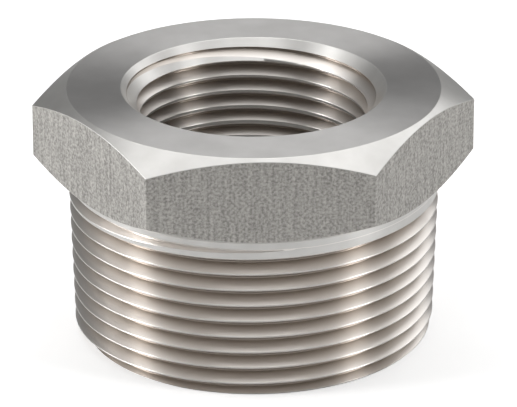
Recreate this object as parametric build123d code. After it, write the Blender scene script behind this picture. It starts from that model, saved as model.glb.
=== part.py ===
from build123d import *
import math
import os

# A hexagon bushing for pipe, turned from one piece of stainless hexagon bar.
# It stands on the small end of its male thread. The Z axis is the axis of thread
# and bore, Z = 0 is the small end face, and two corners of the hexagon lie on X.

# Hexagon head
across_flats = 50.0
head_height = 11.7
head_face_inset = 0.6
head_chamfer_angle = 28.0

# Form of a taper pipe thread: 11 1/2 to the inch, 60 degrees between the flanks,
# crest and root cut flat, and a taper of 1 in 16 on the diameter
inch = 25.4
threads_per_inch = 11.5
flank_angle = 30.0
thread_truncation = 0.12
radius_growth = 1 / 32

# Male thread, 1 1/2 inch size, measured from the small end
shank_length = 21.8
pitch_diameter = 45.62
small_end_chamfer = 0.8
collar_length = 1.0
runout_turns = 0.28
runout_azimuth = -76.0

# Bore, drilled for the 1 inch size of the thread and widened at the top face
bore_diameter = 29.7
mouth_chamfer = 2.45
bore_edge_break = 0.5

# What follows from the sizes above
overall_length = shank_length + head_height
thread_pitch = inch / threads_per_inch
flank_slope = math.tan(math.radians(flank_angle))
thread_height = thread_pitch / (2 * flank_slope) - 2 * thread_truncation

# The thread cutter reaches past the crests, but by less than would make the flanks
# of neighbouring turns meet
cutter_overrun = 0.7 * thread_truncation
groove_floor = 2 * thread_truncation * flank_slope
groove_width = groove_floor + 2 * (thread_height + cutter_overrun) * flank_slope


def head():
    """The hexagon, with both of its ends turned to the same shallow cone."""
    hexagon = RegularPolygon(across_flats / 2, 6, major_radius=False)
    corner_radius = across_flats / 2 / math.cos(math.radians(30))
    face_radius = across_flats / 2 - head_face_inset
    fall = (corner_radius - face_radius) * math.tan(math.radians(head_chamfer_angle))
    top = overall_length
    turned = Polyline(
        (0, shank_length),
        (face_radius, shank_length),
        (corner_radius, shank_length + fall),
        (corner_radius, top - fall),
        (face_radius, top),
        (0, top),
        close=True,
    )
    bar = Pos(0, 0, shank_length) * extrude(hexagon, head_height)
    return bar & revolve(make_face(Plane.XZ * turned), Axis.Z)


def shank():
    """The turned blank of the male thread: end chamfer, taper, plain collar."""
    crest_radius = pitch_diameter / 2 + thread_height / 2
    collar_start = shank_length - collar_length
    collar_radius = crest_radius + collar_start * radius_growth
    chamfer_radius = crest_radius + small_end_chamfer * radius_growth
    turned = Polyline(
        (0, 0),
        (chamfer_radius - small_end_chamfer, 0),
        (chamfer_radius, small_end_chamfer),
        (collar_radius, collar_start),
        (collar_radius, shank_length),
        (0, shank_length),
        close=True,
    )
    return revolve(make_face(Plane.XZ * turned), Axis.Z)


def bore():
    """The straight hole through the axis, with a wide mouth and a broken lower edge."""
    radius = bore_diameter / 2
    turned = Polyline(
        (0, 0),
        (radius + bore_edge_break, 0),
        (radius, bore_edge_break),
        (radius, overall_length - mouth_chamfer),
        (radius + mouth_chamfer, overall_length),
        (0, overall_length),
        close=True,
    )
    return revolve(make_face(Plane.XZ * turned), Axis.Z)


def helix(radius, height, rise, growth, azimuth):
    """A right-hand helix that starts at this radius, height and azimuth and widens upwards."""
    half_angle = math.atan(growth)
    pitch_on_cone = thread_pitch / math.cos(half_angle)
    line = Edge.make_helix(
        pitch_on_cone, rise, radius, (0, 0, height), (0, 0, 1), math.degrees(half_angle)
    )
    return line.rotate(Axis.Z, azimuth)


def thread_groove(radius, height, turns, growth, azimuth):
    """One length of the thread's groove, at most a turn, about a pitch line of this radius."""
    floor = -thread_height / 2
    mouth = thread_height / 2 + cutter_overrun
    section = (
        (floor, -groove_floor / 2),
        (floor, groove_floor / 2),
        (mouth, groove_width / 2),
        (mouth, -groove_width / 2),
    )
    rise = turns * thread_pitch
    edges = [helix(radius + r, height + z, rise, growth, azimuth) for r, z in section]
    sides = [
        Face.make_surface_from_curves(edge, edges[(k + 1) % len(edges)])
        for k, edge in enumerate(edges)
    ]
    ends = [Face(Polyline(*[edge @ end for edge in edges], close=True)) for end in (0, 1)]
    return Solid(Shell(sides + ends))


def thread_grooves():
    """The groove in one-turn lengths, from below the small end to where it runs out."""
    end_height = shank_length - collar_length
    full_height = end_height - runout_turns * thread_pitch
    full_azimuth = runout_azimuth - 360 * runout_turns
    lengths = []
    for turn in range(math.ceil(full_height / thread_pitch) + 1, 0, -1):
        height = full_height - turn * thread_pitch
        radius = pitch_diameter / 2 + height * radius_growth
        lengths.append(thread_groove(radius, height, 1, radius_growth, full_azimuth))
    radius = pitch_diameter / 2 + full_height * radius_growth
    pull_out = (thread_height + cutter_overrun) / (runout_turns * thread_pitch)
    lengths.append(thread_groove(radius, full_height, runout_turns, pull_out, full_azimuth))
    return lengths


def hex_bushing():
    blank = head() + shank() - bore()
    return blank - thread_grooves()


os.makedirs("parts", exist_ok=True)
export_step(hex_bushing(), "parts/hex_bushing.step")
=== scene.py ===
import math

import bmesh
import bpy
import numpy as np
from mathutils import Matrix, Vector


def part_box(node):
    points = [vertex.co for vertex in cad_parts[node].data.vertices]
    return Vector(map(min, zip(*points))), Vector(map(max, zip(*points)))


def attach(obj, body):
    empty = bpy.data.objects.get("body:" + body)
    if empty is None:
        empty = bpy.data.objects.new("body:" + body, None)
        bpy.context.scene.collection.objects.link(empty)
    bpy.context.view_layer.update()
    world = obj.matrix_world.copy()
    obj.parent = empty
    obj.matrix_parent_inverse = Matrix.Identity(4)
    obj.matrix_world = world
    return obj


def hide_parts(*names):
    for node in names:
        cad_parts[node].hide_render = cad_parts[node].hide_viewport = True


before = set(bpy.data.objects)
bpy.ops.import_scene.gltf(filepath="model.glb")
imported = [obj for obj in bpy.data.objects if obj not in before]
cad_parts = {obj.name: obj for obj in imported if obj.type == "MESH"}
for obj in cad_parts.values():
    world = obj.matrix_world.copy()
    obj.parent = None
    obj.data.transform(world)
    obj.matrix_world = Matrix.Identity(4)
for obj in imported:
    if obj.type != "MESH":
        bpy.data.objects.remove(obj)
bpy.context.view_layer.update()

# The blank is a length of stainless hexagon bar. Two of its corners lie on X and two of
# its flats face Y. The bar comes from the mill drawn to size, so the flats keep its skin.
# Lengths are in millimetres, and mm turns them into metres.
mm = 0.001
high_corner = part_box("hex_bushing")[1]
overall_height = high_corner.z / mm
flat_distance = high_corner.y / mm
corner_rounding = 0.25
plain_columns = 300

sixth = math.pi / 3
arc_centre = (flat_distance - corner_rounding) / math.cos(sixth / 2)
arc_reach = math.atan2(
    corner_rounding * math.sin(sixth / 2), arc_centre + corner_rounding * math.cos(sixth / 2)
)
plain_azimuths = np.arange(plain_columns) * 2 * math.pi / plain_columns
corner_azimuths = np.add.outer(
    np.arange(6) * sixth, arc_reach * np.array([-1, -0.5, 0.5, 1])
).ravel() % (2 * math.pi)
azimuths = np.sort(np.concatenate([plain_azimuths, corner_azimuths]))
from_corner = (azimuths + sixth / 2) % sixth - sixth / 2
on_flat = flat_distance / np.cos(sixth / 2 - np.abs(from_corner))
arc_part = np.clip(corner_rounding**2 - (arc_centre * np.sin(from_corner)) ** 2, 0, None)
on_corner = arc_centre * np.cos(from_corner) + np.sqrt(arc_part)
rounded = np.abs(from_corner) < arc_reach
bar_radius = np.where(rounded, on_corner, on_flat)
towards_corner = np.arcsin(np.clip(bar_radius * np.sin(from_corner) / corner_rounding, -0.5, 0.5))
turned_aside = np.where(rounded, towards_corner, np.sign(from_corner) * sixth / 2) - from_corner

# Directions that a surface faces: away from the axis, round it and up
bar_side = (np.cos(turned_aside), np.sin(turned_aside), 0)
upwards = (0, 0, 1)
downwards = (0, 0, -1)
inwards = (-1, 0, 0)

rings = []


def add_ring(radius, height, finish, facing, next_turn=0):
    """One ring of points round the axis. finish names the strip that leads up to it.

    facing is the direction that the surface faces there, and next_turn is how many rings
    further on a helical ring goes after a whole turn.
    """
    values = (radius, height, *facing)
    rows = [np.broadcast_to(np.asarray(value, float), azimuths.shape) for value in values]
    rings.append((rows, finish, next_turn))


# The head is faced square on top, and both of its ends are turned to a shallow cone that
# cuts the hexagon's corners back, so each flat ends in an arc. Every edge is just broken.
shank_length = 21.8
face_inset = 0.6
face_radius = flat_distance - face_inset
cone_angle = math.radians(28)
edge_break = 0.06
mouth_chamfer = 2.45
bore_diameter = 29.7
bore_radius = bore_diameter / 2
mouth_radius = bore_radius + mouth_chamfer

fall = (bar_radius - face_radius) * math.tan(cone_angle)
cone_step = edge_break * math.tan(cone_angle)
upper_cone = (math.sin(cone_angle), 0, math.cos(cone_angle))
lower_cone = (math.sin(cone_angle), 0, -math.cos(cone_angle))
add_ring(mouth_radius + edge_break, overall_height, "bright_cut", upwards)
add_ring(face_radius - edge_break, overall_height, "faced_end", upwards)
add_ring(face_radius + edge_break, overall_height - cone_step, "bright_cut", upper_cone)
add_ring(bar_radius - edge_break, overall_height - fall + cone_step, "bright_cut", upper_cone)
add_ring(bar_radius, overall_height - fall - edge_break, "bright_cut", bar_side)
add_ring(bar_radius, shank_length + fall + edge_break, "bar_skin", bar_side)
add_ring(bar_radius - edge_break, shank_length + fall - cone_step, "bright_cut", lower_cone)
add_ring(face_radius, shank_length, "bright_cut", lower_cone)

# The male thread is cut on a taper with a 60 degree tool, 11 1/2 turns to the inch. The
# tool pulls out over a quarter of a turn and leaves a plain collar under the head.
inch = 25.4
threads_per_inch = 11.5
thread_pitch = inch / threads_per_inch
flank_slope = math.tan(math.radians(30))
truncation = 0.12
thread_height = thread_pitch / (2 * flank_slope) - 2 * truncation
floor_half = truncation * flank_slope
taper = 1 / 32
male_pitch_diameter = 45.62
crest_radius = male_pitch_diameter / 2 + thread_height / 2
small_end_chamfer = 0.8
collar_length = 1.0
collar_start = shank_length - collar_length
collar_radius = crest_radius + collar_start * taper
runout_azimuth = math.radians(-76)
runout_rise = 0.28 * thread_pitch
runout_margin = 1.05
edge_round = 0.035


def male_blank(height):
    """Radius of the turned shank: the end chamfer, the taper and the collar."""
    chamfer = crest_radius + small_end_chamfer * (taper - 1) + height
    return np.minimum(np.minimum(chamfer, crest_radius + height * taper), collar_radius)


def male_floor(centre):
    """Radius of the groove's floor where the groove's middle is at this height."""
    full_height = collar_start - runout_rise
    full = crest_radius - thread_height + np.minimum(centre, full_height) * taper
    pull_out = thread_height / runout_rise * runout_margin
    return full + np.maximum(centre - full_height, 0) * pull_out


def thread_rings(side, blank, floor, known_height, known_azimuth, lowest, highest):
    """Rings of a thread from the lowest up, eight to each turn: radii, heights and facings.

    side is -1 where the groove goes in towards the axis and 1 where it goes out from it.
    The groove's middle passes known_height at known_azimuth.
    """
    first = math.floor((lowest - known_height) / thread_pitch) - 2
    last = math.ceil((highest - known_height) / thread_pitch) + 2

    def middle_height(turn, azimuth):
        """Height of the groove's middle, which rises by a pitch in each turn."""
        return known_height + (turn + (azimuth - known_azimuth) / (2 * math.pi)) * thread_pitch

    centre = np.stack([middle_height(turn, azimuths) for turn in range(first, last + 1)])

    def depth(height):
        """How far each turn's groove reaches into the blank at this height."""
        beyond = np.maximum(np.abs(height - centre) - floor_half, 0) / flank_slope
        return side * (floor(centre) - blank(height)) - beyond

    def cut_radius(azimuth, height):
        """Radius of the threaded surface."""
        radius = blank(height)
        for turn in range(first, last + 1):
            middle = middle_height(turn, azimuth)
            beyond = np.maximum(np.abs(height - middle) - floor_half, 0) / flank_slope
            radius = side * np.maximum(side * radius, side * floor(middle) - beyond)
        return radius

    # Each groove's edges are found by halving the span between its deepest place and the
    # next turn's
    ends = np.stack([centre - floor_half, centre, centre + floor_half])
    depths = np.stack([depth(end) for end in ends])
    deepest = np.take_along_axis(ends, depths.argmax(0)[None], 0)[0]
    halvings = 40
    edges = []
    for way in (-1, 1):
        inside, outside = deepest.copy(), deepest + way * thread_pitch
        for _ in range(halvings):
            middle = (inside + outside) / 2
            cut = depth(middle) > 0
            inside = np.where(cut, middle, inside)
            outside = np.where(cut, outside, middle)
        edges.append(np.where(depth(deepest) > 0, inside, deepest))
    lower, upper = edges
    largest_lip_share = 0.3
    lip = np.minimum(edge_round, largest_lip_share * (upper - lower))
    floor_start = np.clip(centre - floor_half, lower, upper)
    floor_end = np.clip(centre + floor_half, lower, upper)
    heights = np.stack(
        [
            lower - edge_round,
            lower + lip,
            floor_start - lip,
            floor_start + lip,
            floor_end - lip,
            floor_end + lip,
            upper - lip,
            upper + edge_round,
        ],
        axis=1,
    )
    heights = heights.reshape(-1, len(azimuths))
    heights = np.maximum.accumulate(np.clip(heights, lowest, highest), axis=0)

    # The rings border, in turn, the surface below them and the one above
    way = np.where(np.arange(len(heights)) % 2, 1, -1)[:, None]
    nudge = 0.004
    turn_nudge = nudge * 2 * math.pi / thread_pitch
    radii = cut_radius(azimuths, heights)
    slope_up = (cut_radius(azimuths, heights + way * nudge) - radii) / (way * nudge)
    swing = (cut_radius(azimuths - way * turn_nudge, heights) - radii) / (way * turn_nudge * radii)
    steepness = np.sqrt(1 + slope_up**2 + swing**2)
    facings = np.stack([1 / steepness, swing / steepness, -slope_up / steepness], axis=1) * -side
    return radii, heights, facings


rings_per_turn = 8
male_rings = thread_rings(
    -1, male_blank, male_floor, collar_start, runout_azimuth, edge_break, shank_length - edge_break
)
add_ring(collar_radius + edge_break, shank_length, "bright_cut", downwards)
for k, (radius, height, facing) in reversed(list(enumerate(zip(*male_rings)))):
    on_crest = k % rings_per_turn == rings_per_turn - 1
    finish = "bright_cut" if on_crest else "cut_thread"
    add_ring(radius, height, finish, facing, -rings_per_turn)

# The small end is faced square, and the bore is drilled straight through from it. Its
# lower edge is broken, so that nothing sharp is left for a hand.
bore_edge = 0.5

inner_cone = (-math.sqrt(0.5), 0, -math.sqrt(0.5))
add_ring(male_rings[0][0] - edge_break, 0, "bright_cut", downwards)
add_ring(bore_radius + bore_edge + edge_break, 0, "faced_end", downwards)
add_ring(bore_radius + bore_edge - edge_break, edge_break, "bright_cut", inner_cone)
add_ring(bore_radius + edge_break, bore_edge - edge_break, "bright_cut", inner_cone)
add_ring(bore_radius, bore_edge + edge_break, "bright_cut", inwards)

# The female thread is tapped down from the wide mouth. It is full for 19 mm, then fades
# over a turn and a half as the tap's lead leaves it, and the bore below stays plain.
female_depth = 19.0
female_fade = 1.5 * thread_pitch
female_pitch_diameter = 31.461
mouth_floor_radius = female_pitch_diameter / 2 + thread_height / 2
mouth_azimuth = math.radians(-70)


def female_blank(height):
    """Radius of the drilled hole and of its wide mouth."""
    return np.maximum(bore_radius, bore_radius + height - overall_height + mouth_chamfer)


def female_floor(centre):
    """Radius of the groove's floor where the groove's middle is at this height."""
    full_height = overall_height - female_depth
    full = mouth_floor_radius - np.minimum(overall_height - centre, female_depth) * taper
    lead = (mouth_floor_radius - female_depth * taper - bore_radius) / female_fade
    return full - np.maximum(full_height - centre, 0) * lead


fade_end = overall_height - female_depth - female_fade
female_rings = thread_rings(
    1,
    female_blank,
    female_floor,
    overall_height,
    mouth_azimuth,
    fade_end - thread_pitch,
    overall_height - edge_break,
)
for k, (radius, height, facing) in enumerate(zip(*female_rings)):
    on_crest = k % rings_per_turn == 0
    finish = "bright_cut" if on_crest else "tapped_bore"
    add_ring(radius, height, finish, facing, rings_per_turn)

# All of this is one solid piece of steel, so its rings are joined to one closed surface. A
# thread's rings climb by a turn on the way round, and where they meet again each is joined
# to the ring of the next turn.
finish_names = ["faced_end", "bright_cut", "bar_skin", "cut_thread", "tapped_bore"]
weld_distance = 0.002
ring_count = len(rings)
column_count = len(azimuths)
body_mesh = bmesh.new()
faces_towards = body_mesh.verts.layers.float_vector.new("faces_towards")
cosines, sines = np.cos(azimuths), np.sin(azimuths)
points = []
for (radius, height, out, around, lift), _, _ in rings:
    places = np.stack([radius * cosines, radius * sines, height], axis=1) * mm
    along_x = out * cosines - around * sines
    along_y = out * sines + around * cosines
    directions = np.stack([along_x, along_y, lift], axis=1)
    points.append([body_mesh.verts.new(place) for place in places])
    for point, direction in zip(points[-1], directions):
        point[faces_towards] = direction
male_block = [k for k in range(ring_count) if rings[k][2] < 0]
female_block = [k for k in range(ring_count) if rings[k][2] > 0]


def after_a_turn(k):
    """The ring that carries on ring k where the last column meets the first again."""
    for block in (male_block, female_block):
        if k in block:
            return min(max(k + rings[k][2], block[0]), block[-1])
    return k


for k in range(ring_count):
    following = (k + 1) % ring_count
    finish = finish_names.index(rings[following][1])
    for column in range(column_count):
        beside = (column + 1) % column_count
        here, there = (k, following) if beside else (after_a_turn(k), after_a_turn(following))
        corners = [
            points[k][column],
            points[following][column],
            points[there][beside],
            points[here][beside],
        ]
        if len(set(corners)) == 4:
            face = body_mesh.faces.new(corners)
            face.material_index = finish
            face.smooth = True
bmesh.ops.remove_doubles(body_mesh, verts=body_mesh.verts, dist=weld_distance * mm)
bmesh.ops.recalc_face_normals(body_mesh, faces=body_mesh.faces)
bushing_mesh = bpy.data.meshes.new("bushing")
body_mesh.to_mesh(bushing_mesh)
directions = [tuple(point[faces_towards]) for point in body_mesh.verts]
body_mesh.free()
bushing_mesh.normals_split_custom_set_from_vertices(directions)
bushing = bpy.data.objects.new("bushing", bushing_mesh)
bpy.context.scene.collection.objects.link(bushing)
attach(bushing, "root")
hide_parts("hex_bushing")


def add_node(material, kind, **settings):
    """One node in this material, with its properties and unlinked inputs set."""
    node = material.node_tree.nodes.new(kind)
    for name, value in settings.items():
        if hasattr(node, name):
            setattr(node, name, value)
        else:
            node.inputs[name.replace("_", " ")].default_value = value
    return node


def steel(name, colour, roughness, anisotropy):
    """A bare stainless surface of this mean colour, as a material and its shader node.

    Anisotropy spreads a reflection across the tool marks, which run round the axis.
    """
    material = bpy.data.materials.new(name)
    material.use_nodes = True
    shader = material.node_tree.nodes["Principled BSDF"]
    shader.inputs["Base Color"].default_value = (*colour, 1)
    shader.inputs["Metallic"].default_value = 1
    shader.inputs["Roughness"].default_value = roughness
    shader.inputs["Anisotropic"].default_value = anisotropy
    quarter_turn = 0.25
    shader.inputs["Anisotropic Rotation"].default_value = quarter_turn
    if anisotropy:
        around = add_node(material, "ShaderNodeTangent", direction_type="RADIAL", axis="Z")
        material.node_tree.links.new(around.outputs["Tangent"], shader.inputs["Tangent"])
    return material, shader


def radius_on_taper(material):
    """Distance from the axis less what the taper adds: the same all along a turn's crest."""
    links = material.node_tree.links
    place = add_node(material, "ShaderNodeTexCoord")
    flat = add_node(material, "ShaderNodeVectorMath", operation="MULTIPLY")
    flat.inputs[1].default_value = (1, 1, 0)
    reach = add_node(material, "ShaderNodeVectorMath", operation="LENGTH")
    parts = add_node(material, "ShaderNodeSeparateXYZ")
    lean = add_node(material, "ShaderNodeMath", operation="MULTIPLY_ADD")
    lean.inputs[1].default_value = -taper
    links.new(place.outputs["Object"], flat.inputs[0])
    links.new(place.outputs["Object"], parts.inputs[0])
    links.new(flat.outputs[0], reach.inputs[0])
    links.new(parts.outputs["Z"], lean.inputs[0])
    links.new(reach.outputs["Value"], lean.inputs[2])
    return lean.outputs[0]


def tool_marks(material, shader, feed, depth):
    """Rings that a turning tool leaves, feed apart and depth deep, in millimetres."""
    links = material.node_tree.links
    count = add_node(material, "ShaderNodeMath", operation="MULTIPLY")
    count.inputs[1].default_value = 1 / (feed * mm)
    marks = add_node(material, "ShaderNodeTexNoise", noise_dimensions="1D", Scale=1, Detail=2)
    bump = add_node(material, "ShaderNodeBump", Strength=1, Distance=depth * mm)
    links.new(radius_on_taper(material), count.inputs[0])
    links.new(count.outputs[0], marks.inputs["W"])
    links.new(marks.outputs[0], bump.inputs["Height"])
    links.new(bump.outputs[0], shader.inputs["Normal"])


def tones(material, shader, driver, low, high, low_colour, high_colour):
    """Colours the steel from one tone to another as the driver goes from low to high."""
    spread = add_node(material, "ShaderNodeMapRange")
    spread.inputs["From Min"].default_value = low
    spread.inputs["From Max"].default_value = high
    blend = add_node(material, "ShaderNodeValToRGB")
    blend.color_ramp.elements[0].color = (*low_colour, 1)
    blend.color_ramp.elements[1].color = (*high_colour, 1)
    links = material.node_tree.links
    links.new(driver, spread.inputs["Value"])
    links.new(spread.outputs[0], blend.inputs["Fac"])
    links.new(blend.outputs["Color"], shader.inputs["Base Color"])


def clouds(material, size):
    """Soft patches of about this size in millimetres."""
    place = add_node(material, "ShaderNodeTexCoord")
    patches = add_node(material, "ShaderNodeTexNoise", Scale=1 / (size * mm), Detail=3)
    material.node_tree.links.new(place.outputs["Object"], patches.inputs["Vector"])
    return patches.outputs[0]


# The two end faces are faced in the lathe, which leaves fine rings round the axis. Light
# runs out across the rings, so the faces show bright and dark sectors.
faced_end, faced_shader = steel("faced_end", (0.58, 0.57, 0.56), roughness=0.38, anisotropy=0.8)
tool_marks(faced_end, faced_shader, feed=0.3, depth=0.002)
faced_low = (0.55, 0.54, 0.53)
faced_high = (0.61, 0.60, 0.59)
tones(faced_end, faced_shader, clouds(faced_end, size=4), 0.3, 0.7, faced_low, faced_high)

# The cones at both ends of the head, the wide mouth and the flat crests of the threads are
# finishing cuts in the same steel. They are brighter, and spread the light less.
bright_cut, bright_shader = steel("bright_cut", (0.64, 0.63, 0.61), roughness=0.36, anisotropy=0.5)
tool_marks(bright_cut, bright_shader, feed=0.3, depth=0.001)
bright_low = (0.62, 0.61, 0.59)
bright_high = (0.68, 0.67, 0.65)
tones(bright_cut, bright_shader, clouds(bright_cut, size=3), 0.3, 0.7, bright_low, bright_high)

# The flats keep the skin of the drawn bar, dulled by pickling: an even grey with a fine
# mottled grain and faint lines along the bar.
bar_skin, skin_shader = steel("bar_skin", (0.4, 0.39, 0.37), roughness=0.5, anisotropy=0)
line_stretch = 0.08
line_share = 0.35
skin_links = bar_skin.node_tree.links
skin_place = add_node(bar_skin, "ShaderNodeTexCoord")
grain = add_node(bar_skin, "ShaderNodeTexNoise", Scale=2.8 / mm, Detail=3, Roughness=0.6)
skin_bump = add_node(bar_skin, "ShaderNodeBump", Strength=1, Distance=0.05 * mm)
along_bar = add_node(bar_skin, "ShaderNodeMapping")
along_bar.inputs["Scale"].default_value = (1, 1, line_stretch)
draw_lines = add_node(bar_skin, "ShaderNodeTexNoise", Scale=2.2 / mm, Detail=2)
mottle = add_node(bar_skin, "ShaderNodeMath", operation="MULTIPLY_ADD")
mottle.inputs[1].default_value = line_share
skin_tones = add_node(bar_skin, "ShaderNodeValToRGB")
skin_tones.color_ramp.elements[0].position = 0.5
skin_tones.color_ramp.elements[0].color = (0.26, 0.25, 0.235, 1)
skin_tones.color_ramp.elements[1].position = 0.85
skin_tones.color_ramp.elements[1].color = (0.55, 0.535, 0.505, 1)
skin_links.new(skin_place.outputs["Object"], grain.inputs["Vector"])
skin_links.new(skin_place.outputs["Object"], along_bar.inputs["Vector"])
skin_links.new(along_bar.outputs["Vector"], draw_lines.inputs["Vector"])
skin_links.new(draw_lines.outputs[0], mottle.inputs[0])
skin_links.new(grain.outputs[0], mottle.inputs[2])
skin_links.new(mottle.outputs[0], skin_tones.inputs["Fac"])
skin_links.new(skin_tones.outputs["Color"], skin_shader.inputs["Base Color"])
skin_links.new(grain.outputs[0], skin_bump.inputs["Height"])
skin_links.new(skin_bump.outputs[0], skin_shader.inputs["Normal"])

# The male thread and the collar are cut in one setting and left as the tool leaves them.
# Their colour is painted shade: a dull warm brown deep in the grooves, lighter up the flanks to bright
# crests.
cut_thread, thread_shader = steel("cut_thread", (0.64, 0.6, 0.56), roughness=0.29, anisotropy=0.82)
tool_marks(cut_thread, thread_shader, feed=0.25, depth=0.001)
# Ends of the painted shade across the flanks: light at the crests, dark at the groove roots.
painted_shade_crest_tone = (0.86, 0.825, 0.79)
painted_shade_root_tone = (0.41, 0.36, 0.315)
crest_line = crest_radius * mm
root_line = (crest_radius - thread_height) * mm
male_shade_depth = radius_on_taper(cut_thread)
tones(cut_thread, thread_shader, male_shade_depth, root_line, crest_line, painted_shade_root_tone, painted_shade_crest_tone)

# The female thread is cut by a tap in the same steel, with the same painted shade, light at the crests
# and dull in the grooves. Its grooves go outwards, so the painted shade darkens away from the axis.
tapped_bore, bore_shader = steel("tapped_bore", (0.64, 0.6, 0.56), roughness=0.32, anisotropy=0.86)
tool_marks(tapped_bore, bore_shader, feed=0.25, depth=0.001)
# The painted shade darkens over this share of the groove's depth, out to the groove floor.
groove_share = 0.8
tapped_root = (mouth_floor_radius - overall_height * taper) * mm
tapped_crest = tapped_root - groove_share * thread_height * mm
female_shade_reach = radius_on_taper(tapped_bore)
tones(tapped_bore, bore_shader, female_shade_reach, tapped_crest, tapped_root, painted_shade_crest_tone, painted_shade_root_tone)

for finish in (faced_end, bright_cut, bar_skin, cut_thread, tapped_bore):
    bushing.data.materials.append(finish)

# The bushing stands on a plain pale floor under soft boxes, as on a photographer's table.
# To the camera the floor and the room behind it are white, apart from the bushing's shadow,
# and metal and glass show some of that white.
floor_half_width = 1.5
floor_lift = 0.45
mirrored_share = 0.2


def whiteness(tree):
    """How much of the white backdrop a ray sees: all of it for a ray from the camera."""
    rays = tree.nodes.new("ShaderNodeLightPath")
    off_metal = tree.nodes.new("ShaderNodeMath")
    share = tree.nodes.new("ShaderNodeMath")
    share.operation = "MULTIPLY_ADD"
    share.inputs[1].default_value = mirrored_share
    tree.links.new(rays.outputs["Is Glossy Ray"], off_metal.inputs[0])
    tree.links.new(rays.outputs["Is Transmission Ray"], off_metal.inputs[1])
    tree.links.new(off_metal.outputs[0], share.inputs[0])
    tree.links.new(rays.outputs["Is Camera Ray"], share.inputs[2])
    return share.outputs[0]


floor_mesh = bpy.data.meshes.new("floor")
floor_mesh.from_pydata(
    [(x * floor_half_width, y * floor_half_width, 0) for x, y in ((-1, -1), (1, -1), (1, 1), (-1, 1))],
    [],
    [(0, 1, 2, 3)],
)
floor = bpy.data.objects.new("floor", floor_mesh)
bpy.context.scene.collection.objects.link(floor)
floor_paper = bpy.data.materials.new("floor_paper")
floor_paper.use_nodes = True
paper_nodes = floor_paper.node_tree.nodes
paper_links = floor_paper.node_tree.links
paper_shader = paper_nodes["Principled BSDF"]
paper_shader.inputs["Base Color"].default_value = (0.8, 0.8, 0.8, 1)
paper_shader.inputs["Roughness"].default_value = 0.9
paper_shader.inputs["Specular IOR Level"].default_value = 0
paper_glow = add_node(floor_paper, "ShaderNodeEmission", Color=(1, 1, 1, 1))
paper_lift = add_node(floor_paper, "ShaderNodeMath", operation="MULTIPLY")
paper_lift.inputs[1].default_value = floor_lift
paper_sum = add_node(floor_paper, "ShaderNodeAddShader")
paper_links.new(whiteness(floor_paper.node_tree), paper_lift.inputs[0])
paper_links.new(paper_lift.outputs[0], paper_glow.inputs["Strength"])
paper_links.new(paper_shader.outputs[0], paper_sum.inputs[0])
paper_links.new(paper_glow.outputs[0], paper_sum.inputs[1])
paper_links.new(paper_sum.outputs[0], paper_nodes["Material Output"].inputs["Surface"])
floor_mesh.materials.append(floor_paper)

# Soft boxes stand round the bushing. A tall narrow one on each side draws the bright streaks
# down the threads, and wide ones above, behind and low at the sides light the faces and the
# flats.
target = Vector((0, 0, overall_height / 2 * mm))
lamp_distance = 0.6


def soft_box(name, azimuth, elevation, width, height, radiance):
    """A rectangular lamp that faces the bushing. Azimuth 0 is the front, 90 the right."""
    turn, tilt = math.radians(azimuth), math.radians(elevation)
    way = Vector((math.sin(turn) * math.cos(tilt), -math.cos(turn) * math.cos(tilt), math.sin(tilt)))
    lamp = bpy.data.lights.new(name, "AREA")
    lamp.shape = "RECTANGLE"
    lamp.size = width
    lamp.size_y = height
    lamp.energy = radiance * math.pi * width * height
    box = bpy.data.objects.new(name, lamp)
    box.location = target + way * lamp_distance
    box.rotation_euler = (-way).to_track_quat("-Z", "Y").to_euler()
    bpy.context.scene.collection.objects.link(box)


soft_box("left_strip", -80, 20, 0.15, 0.5, 9.2)
soft_box("right_strip", 65, 20, 0.13, 0.5, 7.8)
soft_box("left_low_box", -102, 15, 0.2, 0.3, 3.6)
soft_box("right_low_box", 103, 15, 0.2, 0.3, 1.7)
soft_box("right_rear_box", 135, 35, 0.35, 0.35, 1.2)
soft_box("left_high_box", -90, 55, 0.35, 0.3, 0.5)
soft_box("right_high_box", 90, 60, 0.35, 0.3, 0.7)
soft_box("rear_high_box", 180, 60, 0.5, 0.3, 2.2)
soft_box("top_box", 0, 78, 0.4, 0.35, 1.45)

# The room behind is white as well, to the camera in full and to metal by the same share as
# the floor. It gives the bushing hardly any light of its own.
room_light = 0.03
room = bpy.data.worlds.new("room")
room.use_nodes = True
bpy.context.scene.world = room
room_level = room.node_tree.nodes.new("ShaderNodeMapRange")
room_level.inputs["To Min"].default_value = room_light
room_shader = room.node_tree.nodes["Background"]
room_shader.inputs["Color"].default_value = (1, 1, 1, 1)
room.node_tree.links.new(whiteness(room.node_tree), room_level.inputs["Value"])
room.node_tree.links.new(room_level.outputs[0], room_shader.inputs["Strength"])

# The camera looks at the bushing's middle from the photograph's side and height, about 0.57
# m away, with a long lens. Its focal length is in pixels of the photograph's width.
camera_elevation = math.radians(23.484)
camera_azimuth = math.radians(-2.15)
camera_distance = 0.5709
camera_aside = 0.00063
focal_pixels = 4337.6
image_width = 517
back = Vector(
    (
        math.sin(camera_azimuth) * math.cos(camera_elevation),
        -math.cos(camera_azimuth) * math.cos(camera_elevation),
        math.sin(camera_elevation),
    )
)
right = Vector((0, 0, 1)).cross(back).normalized()
upward = back.cross(right)
lens = bpy.data.cameras.new("camera")
lens.sensor_fit = "HORIZONTAL"
lens.sensor_width = 36
lens.lens = focal_pixels * lens.sensor_width / image_width
lens.clip_start = 0.01
camera = bpy.data.objects.new("camera", lens)
turned = Matrix((right, upward, back)).transposed().to_4x4()
stand = target + back * camera_distance + right * camera_aside
camera.matrix_world = Matrix.Translation(stand) @ turned
bpy.context.scene.collection.objects.link(camera)
bpy.context.scene.camera = camera
bpy.context.scene.view_settings.view_transform = "Standard"
